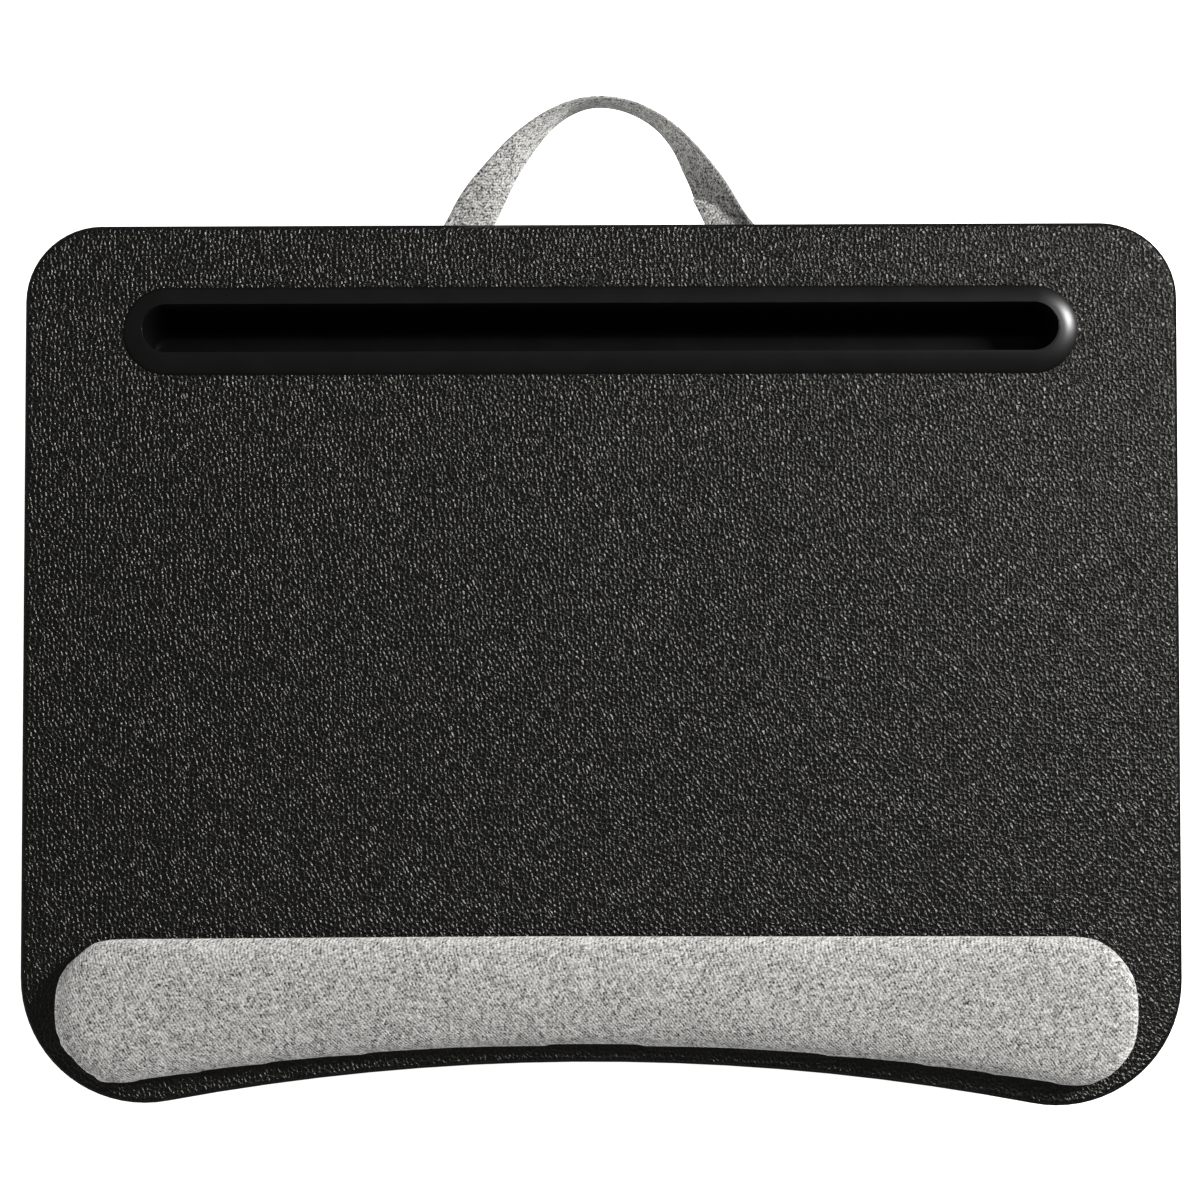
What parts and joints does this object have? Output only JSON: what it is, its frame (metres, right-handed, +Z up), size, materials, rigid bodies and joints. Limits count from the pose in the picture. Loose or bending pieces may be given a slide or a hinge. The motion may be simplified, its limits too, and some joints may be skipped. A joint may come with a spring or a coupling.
{
  "type": "lap tray with cushion",
  "caption": "Flat lap tray with rounded corners and a curved-in front edge, a leaning slot for a tablet, a padded wrist rest, a cloth carrying strap and a lobed cushion underneath.",
  "frame": {"origin": "on the surface that the cushion stands on, under the middle of the whole part's length, strap included", "axes": "+X to the user's right, +Y to the rear where the strap is, +Z up"},
  "size_m": [0.43, 0.376, 0.076],
  "materials": {
    "fibreboard": "raw medium-density fibreboard",
    "leatherette": "black grained leatherette, satin",
    "slot_plastic": "black moulded plastic, satin",
    "adhesive_sheet": "double-sided adhesive sheet",
    "foam": "open-cell foam",
    "grey_cloth": "grey melange woven cloth",
    "backed_cloth": "foam-backed black cloth",
    "cushion_cloth": "black woven polyester",
    "bead_bag": "thin cloth bag of foam beads"
  },
  "bodies": {
    "tray": {"deck_board": "fibreboard", "deck_skin": "leatherette", "slot_insert": "slot_plastic", "wrist_rest_tape": "adhesive_sheet", "wrist_rest_base": "fibreboard", "wrist_rest_foam": "foam", "wrist_rest_cover": "grey_cloth", "cushion_panel": "backed_cloth", "cushion_cover_left": "cushion_cloth", "cushion_cover_right": "cushion_cloth", "cushion_fill_left": "bead_bag", "cushion_fill_right": "bead_bag", "strap_end_left": "grey_cloth", "strap_end_right": "grey_cloth"},
    "strap": {"strap_loop": "grey_cloth"}
  },
  "joints": [
    {"name": "strap_swing", "type": "hinge", "parent": "tray", "child": "strap", "pos_m": [0, 0.1412, 0.0506], "axis": [1, 0, 0], "range_deg": [-55, 70]}
  ]
}
